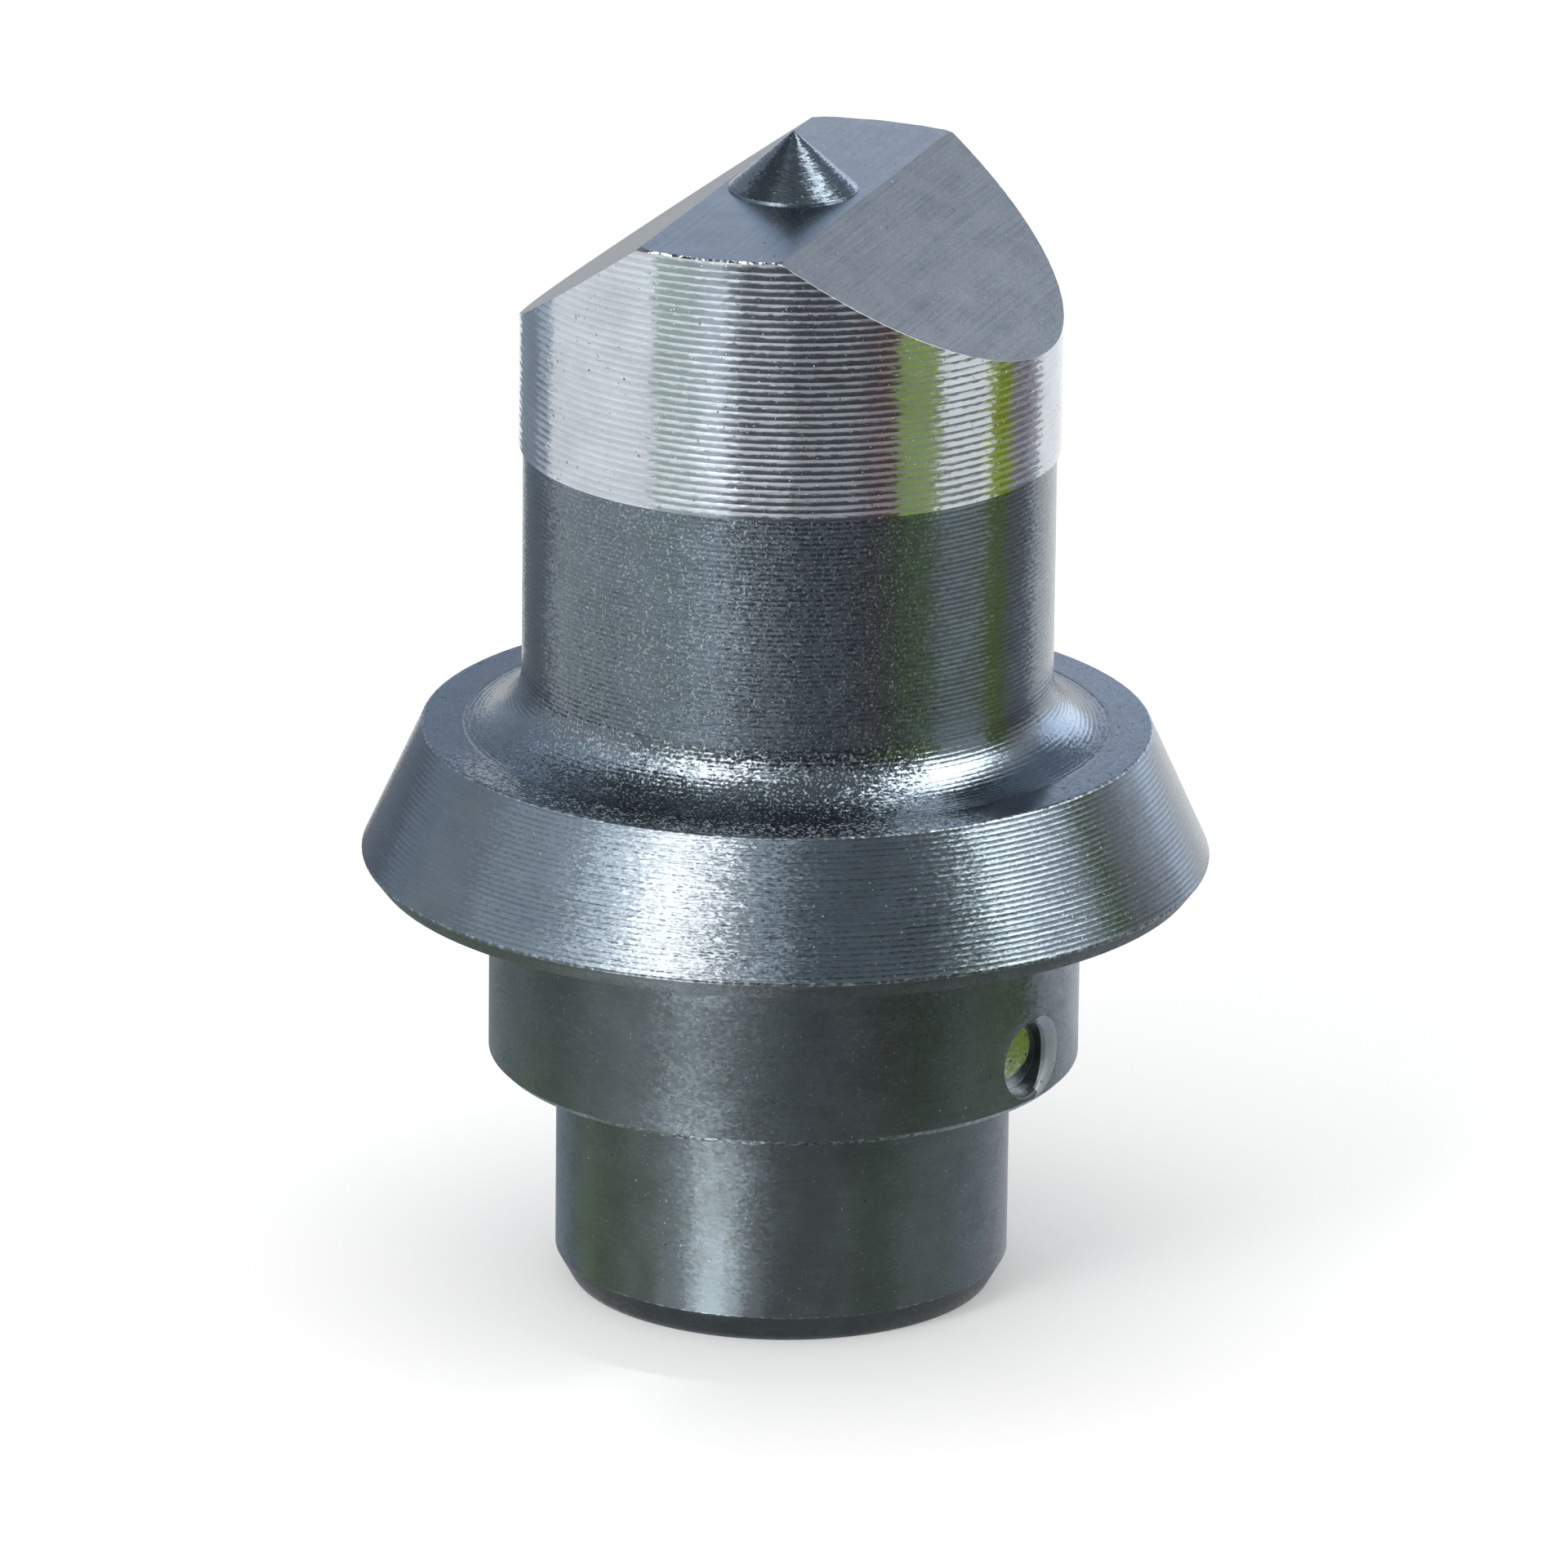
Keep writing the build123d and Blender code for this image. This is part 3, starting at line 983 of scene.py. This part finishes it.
# The camera: where it stands from the punch's axis, and what it looks at
TOWARDS_CAMERA = radians(34.5) - pi / 2  # 34.5 degrees from -Y towards +X
CAMERA_RISE = radians(17.82)
CAMERA_DISTANCE = 672.5 * MM
CAMERA_AIM = (-0.09 * MM, -0.06 * MM, 24.8 * MM)
CAMERA_ORBIT_Z = 30.0 * MM
CAMERA_ROLL = radians(0.657)
SENSOR_WIDTH_MM = 36.0
LENS_MM = 320.9

# Cards that stand or lie round the punch, and show in its metal alone. Each glows with its colour
# times its strength, so together they paint what the metal reflects: the bright ones are painted
# highlights in place of lamps, and the mats nearest the punch's foot are partly painted shade for
# the floor's shadow there. A card is placed by what it is seen in: an upright wall of the punch
# reflects the way r degrees to the right of the camera from the place r / 2 degrees to the right.
# So a card spans two such ways, and its lower and its upper edge are (distance out from the wall
# along that way, height) in millimetres, as is the wall's radius. Its colour is multiplied by its
# strength.
Card = namedtuple("Card", "name left right lower upper colour strength wall",
                  defaults=(1.0, 13.0))
CARDS = (
    # Upright, for the land's marks, which see them over the mats
    Card("card_grey_left", -165, -134, (137, 0), (137, 28), "#929cab"),
    Card("card_pale_left", -134, -122, (137, 0), (137, 28), "#bfcad8"),
    Card("card_cone_grey", -165, -134, (137, 28), (137, 130), "#c4d3e3"),
    Card("card_cone_pale", -134, -116, (137, 28), (137, 130), "#d6e2f2", 1.15),
    Card("card_pale_green", -60, -46, (137, 0), (137, 66), "#bdcfc4"),
    Card("card_green_grey", -46, -37, (137, 0), (137, 66), "#bccbc6"),
    Card("card_pale_front", -37, -27, (137, 0), (137, 66), "#d4dce4"),
    Card("card_mid_front", -27, -21, (137, 0), (137, 66), "#8f959b"),
    Card("card_dark_front", -21, 0, (137, 0), (137, 66), "#5c6064"),
    Card("card_black_front", 0, 36, (137, 0), (137, 66), "#4b4e52"),
    Card("card_brown_front", 36, 46, (137, 0), (137, 66), "#5c4444"),
    Card("card_green", 46, 66, (137, 0), (137, 66), "#9eb561"),
    Card("card_yellow_green", 94, 108, (137, 0), (137, 66), "#7c9008"),
    Card("card_brown_right", 108, 121, (137, 0), (137, 26), "#83797c"),
    Card("card_grey_right", 121, 131, (137, 0), (137, 22), "#a9a7ac"),
    Card("card_cone_right", 104, 119, (137, 28), (137, 66), "#e8e0e2"),
    Card("card_cone_end", 119, 131, (137, 24), (137, 66), "#f4f4fa", 1.5),
    Card("card_pale_end", 131, 165, (217, 22), (217, 106), "#dceaff", 2.8),
    # High, for the collar's cone and fillet
    Card("card_high_left", -130, -98, (217, 83), (217, 217), "#dfe8f4", 1.2),
    Card("card_white_left", -98, -62, (217, 83), (217, 217), "#f4f8ff", 1.8),
    Card("card_lit_left", -62, -44, (217, 83), (217, 250), "#ffffff", 4.0),
    Card("card_key", -44, -20, (217, 83), (217, 185), "#fff0e6", 11.0),
    Card("card_key_top", -56, -36, (217, 185), (217, 250), "#fffcf8", 12.0),
    Card("card_lit_front", -20, 0, (217, 90), (217, 200), "#ffffff", 3.0),
    Card("card_grey_front", -20, 58, (217, 85), (217, 330), "#bcc0c2"),
    Card("card_dark_top", -36, 84, (217, 330), (97, 380), "#9fa5aa"),
    Card("card_lit_side", 61, 102, (217, 118), (217, 400), "#fffcf8", 10.5),
    Card("card_low_back", 165, 180, (217, 75), (217, 106), "#d7e6ff", 1.4),
    Card("card_low_left", -180, -134, (217, 75), (217, 106), "#b6cae8"),
    Card("card_blue_back", 125, 226, (217, 106), (217, 260), "#aab8cb"),
    # Overhead, for the centre point and its image in the ridge
    Card("card_dark_left", -150, -60, (217, 217), (97, 375), "#82898f"),
    Card("card_dark_back", 118, 210, (217, 260), (97, 380), "#50565c"),
    Card("card_lit_top", 90, 118, (187, 293), (97, 330), "#ffffff", 7.0),
    Card("card_overhead", -180, 180, (92, 390), (1, 390), "#92989e", 1.0, 1.0),
    # Mats that the neck sees
    Card("mat_neck_left", -165, -126, (70, 0.4), (137, 0.4), "#8d9399"),
    Card("mat_neck_side", -126, -60, (70, 0.4), (137, 0.4), "#ffffff"),
    Card("mat_neck_lit", -60, -42, (77, 0.4), (137, 0.4), "#ffffff", 1.25),
    Card("mat_neck_bright", -42, -24, (77, 0.4), (137, 0.4), "#ffffff", 1.55),
    Card("mat_neck_pale", -24, 0, (77, 0.4), (137, 0.4), "#ffffff", 0.86),
    Card("mat_neck_grey", 0, 30, (70, 0.4), (137, 0.4), "#c2c2c3"),
    Card("mat_neck_brown", 30, 46, (70, 0.4), (137, 0.4), "#b0a2a5"),
    Card("mat_neck_green", 46, 66, (70, 0.4), (137, 0.4), "#9ca28f"),
    Card("mat_neck_right", 66, 92, (84, 0.4), (130, 0.4), "#7a7e74"),
    Card("mat_neck_yellow", 92, 108, (70, 0.4), (137, 0.4), "#aab450"),
    Card("mat_neck_end", 108, 131, (70, 0.4), (137, 0.4), "#acacb8"),
    # A farther mat, which only the land sees
    Card("mat_land_side", -122, -60, (137, 0.4), (217, 0.4), "#ffffff", 1.1),
    # Nearer mats, which only the lower side of each mark on the neck and the land sees
    Card("mat_glint_left", -64, -46, (66, 0.4), (77, 0.4), "#ffffff", 2.2),
    Card("mat_glint", -46, -20, (66, 0.4), (77, 0.4), "#ffffff", 5.0),
    Card("mat_glint_right", -20, 0, (66, 0.4), (77, 0.4), "#ffffff", 2.0),
    Card("mat_land_right", 66, 92, (66, 0.4), (84, 0.4), "#f4f8f2", 1.3),
    # Mats that the seat sees
    Card("mat_seat_end", -180, -116, (34, 0.6), (70, 0.6), "#a6b2b2", 1.0, 14.3),
    Card("mat_seat_left", -116, -84, (34, 0.6), (70, 0.6), "#8f9b90", 1.0, 14.3),
    Card("mat_seat_pale", -84, -58, (34, 0.6), (66, 0.6), "#d5d9d8", 1.0, 14.3),
    Card("mat_seat_lit", -58, -20, (34, 0.6), (66, 0.6), "#6f7479", 1.0, 14.3),
    Card("mat_seat_grey", -20, 0, (34, 0.6), (66, 0.6), "#a0a3a6", 1.0, 14.3),
    Card("mat_seat_front", 0, 38, (34, 0.6), (70, 0.6), "#8a8d90", 1.0, 14.3),
    Card("mat_seat_green", 38, 76, (34, 0.6), (70, 0.6), "#4a523f", 1.0, 14.3),
    Card("mat_seat_lime", 76, 116, (34, 0.6), (70, 0.6), "#6e8434", 1.0, 14.3),
    Card("mat_seat_right", 116, 180, (34, 0.6), (70, 0.6), "#e2e8f2", 1.25, 14.3),
    # Mats that the spigot sees, the first of them, in its bevel, a grey ring at the foot that is
    # painted shade for the floor's shadow there
    Card("mat_spigot_foot", -180, 180, (0, 0.05), (6, 0.05), "#9c9c9c", 1.0, 10.3),
    Card("mat_spigot_left", -180, -126, (0.5, 0.8), (35, 0.8), "#a9b6c2", 1.0, 11.0),
    Card("mat_spigot_green", -126, -108, (0.5, 0.8), (35, 0.8), "#c4d2ac", 1.0, 11.0),
    Card("mat_spigot_olive", -108, -88, (0.5, 0.8), (35, 0.8), "#b2c0a6", 1.0, 11.0),
    Card("mat_spigot_grey", -88, -66, (0.5, 0.8), (35, 0.8), "#dbdfcc", 1.0, 11.0),
    Card("mat_spigot_pale", -66, -50, (0.5, 0.8), (35, 0.8), "#ffffff", 1.2, 11.0),
    Card("mat_spigot_soft", -50, -43, (0.5, 0.8), (35, 0.8), "#ffffff", 2.6, 11.0),
    Card("mat_spigot_lit", -43, -29, (0.5, 0.8), (35, 0.8), "#ffffff", 4.6, 11.0),
    Card("mat_spigot_edge", -29, -20, (0.5, 0.8), (35, 0.8), "#ffffff", 2.8, 11.0),
    Card("mat_spigot_front", -20, -8, (0.5, 0.8), (35, 0.8), "#f5f2f8", 1.05, 11.0),
    Card("mat_spigot_dark", -8, 38, (0.5, 0.8), (35, 0.8), "#bab9b6", 1.0, 11.0),
    Card("mat_spigot_deep", 38, 62, (0.5, 0.8), (35, 0.8), "#a4aa9a", 1.0, 11.0),
    Card("mat_spigot_right", 62, 98, (0.5, 0.8), (35, 0.8), "#c8cec6", 1.0, 11.0),
    Card("mat_spigot_end", 98, 180, (0.5, 0.8), (35, 0.8), "#ccd0d8", 1.1, 11.0),
)

# A card is bent in steps of about this many degrees.
CARD_STEP_DEGREES = 4


def card_mesh(card):
    """A strip that faces the punch, both edges swept from left to right.

    Each point is wall times e(r / 2) plus distance times e(r), where e(r) is the level unit
    vector r degrees to the right of the camera.
    """
    steps = max(2, round((card.right - card.left) / CARD_STEP_DEGREES))
    right = np.radians(np.linspace(card.left, card.right, steps + 1))
    foot = ring_points(card.wall * MM, 0.0, TOWARDS_CAMERA + right / 2)
    edges = np.array([card.lower, card.upper]) * MM
    points = foot + ring_points(edges[:, :1], edges[:, 1:], TOWARDS_CAMERA + right[None, :])
    here = np.arange(2 * (steps + 1)).reshape(2, -1)
    a, b, c, d = here[0, :-1], here[0, 1:], here[1, 1:], here[1, :-1]
    triangles = np.vstack([np.stack([a, c, b], axis=1), np.stack([a, d, c], axis=1)])
    return mesh_object(card.name, points.reshape(-1, 3), triangles)


def card_material(card):
    """Plain card that glows with its own colour times its strength, so the bright ones are painted
    highlights.
    """
    material, tree, _ = new_material(card.name)
    glow = add_node(tree, "ShaderNodeEmission", None, {
        "Color": (*linear(card.colour), 1.0), "Strength": card.strength})
    add_node(tree, "ShaderNodeOutputMaterial", None, {"Surface": glow.outputs["Emission"]})
    material.cycles.emission_sampling = "NONE"
    return material


FLOOR_RADIUS = 0.9
FLOOR_COLUMNS = 96
PAPER_FIBRE = 1.5 * MM
PAPER_FIBRE_DEPTH = 0.01 * MM
# What the paper gives out where it is looked at, so that it is as white as the world behind it
PAPER_LIFT = 0.12


def paper_floor():
    """A round sheet of white paper under the punch: a fan of triangles round its middle."""
    rim = ring_points(FLOOR_RADIUS, 0.0, even_angles(FLOOR_COLUMNS))
    points = np.vstack([rim, [[0.0, 0.0, 0.0]]])
    here = np.arange(FLOOR_COLUMNS)
    middle = np.full(FLOOR_COLUMNS, FLOOR_COLUMNS)
    triangles = np.stack([here, np.roll(here, -1), middle], axis=1)
    floor = mesh_object("floor", points, triangles)
    material, tree, place = new_material("white_paper")
    fibre = add_node(tree, "ShaderNodeTexNoise", None, {
        "Vector": scaled(tree, place, (PAPER_FIBRE,) * 3), "Scale": 1.0})
    bump = add_node(tree, "ShaderNodeBump", None, {
        "Height": fibre.outputs["Fac"], "Distance": PAPER_FIBRE_DEPTH})
    path = add_node(tree, "ShaderNodeLightPath").outputs
    seen = add_node(tree, "ShaderNodeMath", {"operation": "MAXIMUM"}, {
        0: path["Is Camera Ray"], 1: path["Is Glossy Ray"]})
    seen_through = add_node(tree, "ShaderNodeMath", {"operation": "MAXIMUM"}, {
        0: seen.outputs["Value"], 1: path["Is Transmission Ray"]})
    lift = add_node(tree, "ShaderNodeMath", {"operation": "MULTIPLY"}, {
        0: seen_through.outputs["Value"], 1: PAPER_LIFT})
    shader = add_node(tree, "ShaderNodeBsdfPrincipled", None, {
        "Base Color": (*linear("#f6f6f6"), 1.0), "Roughness": 0.9,
        "Normal": bump.outputs["Normal"], "Emission Color": (1.0, 1.0, 1.0, 1.0),
        "Emission Strength": lift.outputs["Value"]})
    add_node(tree, "ShaderNodeOutputMaterial", None, {"Surface": shader.outputs["BSDF"]})
    floor.data.materials.append(material)
    return floor


# The lamp: where it hangs as seen from the punch, its width and height, and its radiance, which
# is its power over pi times its area
LAMP_BEARING = TOWARDS_CAMERA - radians(36)
LAMP_RISE = radians(33)
LAMP_DISTANCE = 0.6
LAMP_SIZE = (0.17, 0.28)
LAMP_RADIANCE = 7.0


def soft_lamp():
    """An area lamp that faces the punch from the upper left."""
    data = bpy.data.lights.new("key_lamp", "AREA")
    data.shape = "RECTANGLE"
    data.size, data.size_y = LAMP_SIZE
    data.energy = LAMP_RADIANCE * pi * LAMP_SIZE[0] * LAMP_SIZE[1]
    lamp = bpy.data.objects.new("key_lamp", data)
    lamp.visible_glossy = False  # the cards stand for it in the metal
    level = cos(LAMP_RISE)
    way = Vector((cos(LAMP_BEARING) * level, sin(LAMP_BEARING) * level, sin(LAMP_RISE)))
    place = Vector((0.0, 0.0, CAMERA_ORBIT_Z)) + way * LAMP_DISTANCE
    turn = way.to_track_quat("Z", "Y").to_matrix().to_4x4()
    lamp.matrix_world = Matrix.Translation(place) @ turn
    bpy.context.scene.collection.objects.link(lamp)


def white_world():
    """White all round at strength 1, for the camera, the metal and the paper alike."""
    world = bpy.data.worlds.new("studio")
    world.use_nodes = True
    tree = world.node_tree
    tree.nodes.clear()
    sky = add_node(tree, "ShaderNodeBackground", None, {
        "Color": (1.0, 1.0, 1.0, 1.0), "Strength": 1.0})
    add_node(tree, "ShaderNodeOutputWorld", None, {"Surface": sky.outputs["Background"]})
    bpy.context.scene.world = world


def photo_camera():
    """The camera at the photograph's angle, rolled as it was."""
    data = bpy.data.cameras.new("camera")
    data.sensor_width = SENSOR_WIDTH_MM
    data.lens = LENS_MM
    camera = bpy.data.objects.new("camera", data)
    level = CAMERA_DISTANCE * cos(CAMERA_RISE)
    place = Vector((level * cos(TOWARDS_CAMERA), level * sin(TOWARDS_CAMERA),
                    CAMERA_ORBIT_Z + CAMERA_DISTANCE * sin(CAMERA_RISE)))
    look = (Vector(CAMERA_AIM) - place).to_track_quat("-Z", "Y").to_matrix().to_4x4()
    camera.matrix_world = Matrix.Translation(place) @ look @ Matrix.Rotation(CAMERA_ROLL, 4, "Z")
    bpy.context.scene.collection.objects.link(camera)
    bpy.context.scene.camera = camera


class PUNCH_OT_stage(bpy.types.Operator):
    """Lay the floor, stand the cards and the lamp round the punch, and place the camera"""
    bl_idname = "punch.stage"
    bl_label = "Stage"

    def execute(self, context):
        context.scene.view_settings.view_transform = "Standard"
        white_world()
        floor = paper_floor()
        for card in CARDS:
            made = card_mesh(card)
            made.data.materials.append(card_material(card))
            made.visible_camera = False
            made.visible_diffuse = False
            made.visible_shadow = False
        soft_lamp()
        photo_camera()
        return {"FINISHED"}


class PUNCH_PT_sidebar(bpy.types.Panel):
    """Buttons for the punch and its stage, and the sizes and colours they use"""
    bl_idname = "PUNCH_PT_sidebar"
    bl_label = "Piercing punch"
    bl_space_type = "VIEW_3D"
    bl_region_type = "UI"
    bl_category = "Punch"

    def draw(self, context):
        for operator in (PUNCH_OT_body, PUNCH_OT_stage):
            self.layout.operator(operator.bl_idname)
        for group in (context.scene.punch_sizes, context.scene.punch_finishes):
            for name in group.__annotations__:
                self.layout.prop(group, name)


CLASSES = (PunchSizes, PunchFinishes, PUNCH_OT_body, PUNCH_OT_stage, PUNCH_PT_sidebar)


def register():
    for cls in CLASSES:
        bpy.utils.register_class(cls)
    bpy.types.Scene.punch_sizes = PointerProperty(type=PunchSizes)
    bpy.types.Scene.punch_finishes = PointerProperty(type=PunchFinishes)


def unregister():
    del bpy.types.Scene.punch_finishes
    del bpy.types.Scene.punch_sizes
    for cls in reversed(CLASSES):
        bpy.utils.unregister_class(cls)


def main():
    """Builds the punch and its stage."""
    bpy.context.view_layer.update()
    register()
    bpy.ops.punch.body()
    bpy.ops.punch.stage()


if __name__ == "__main__":
    main()
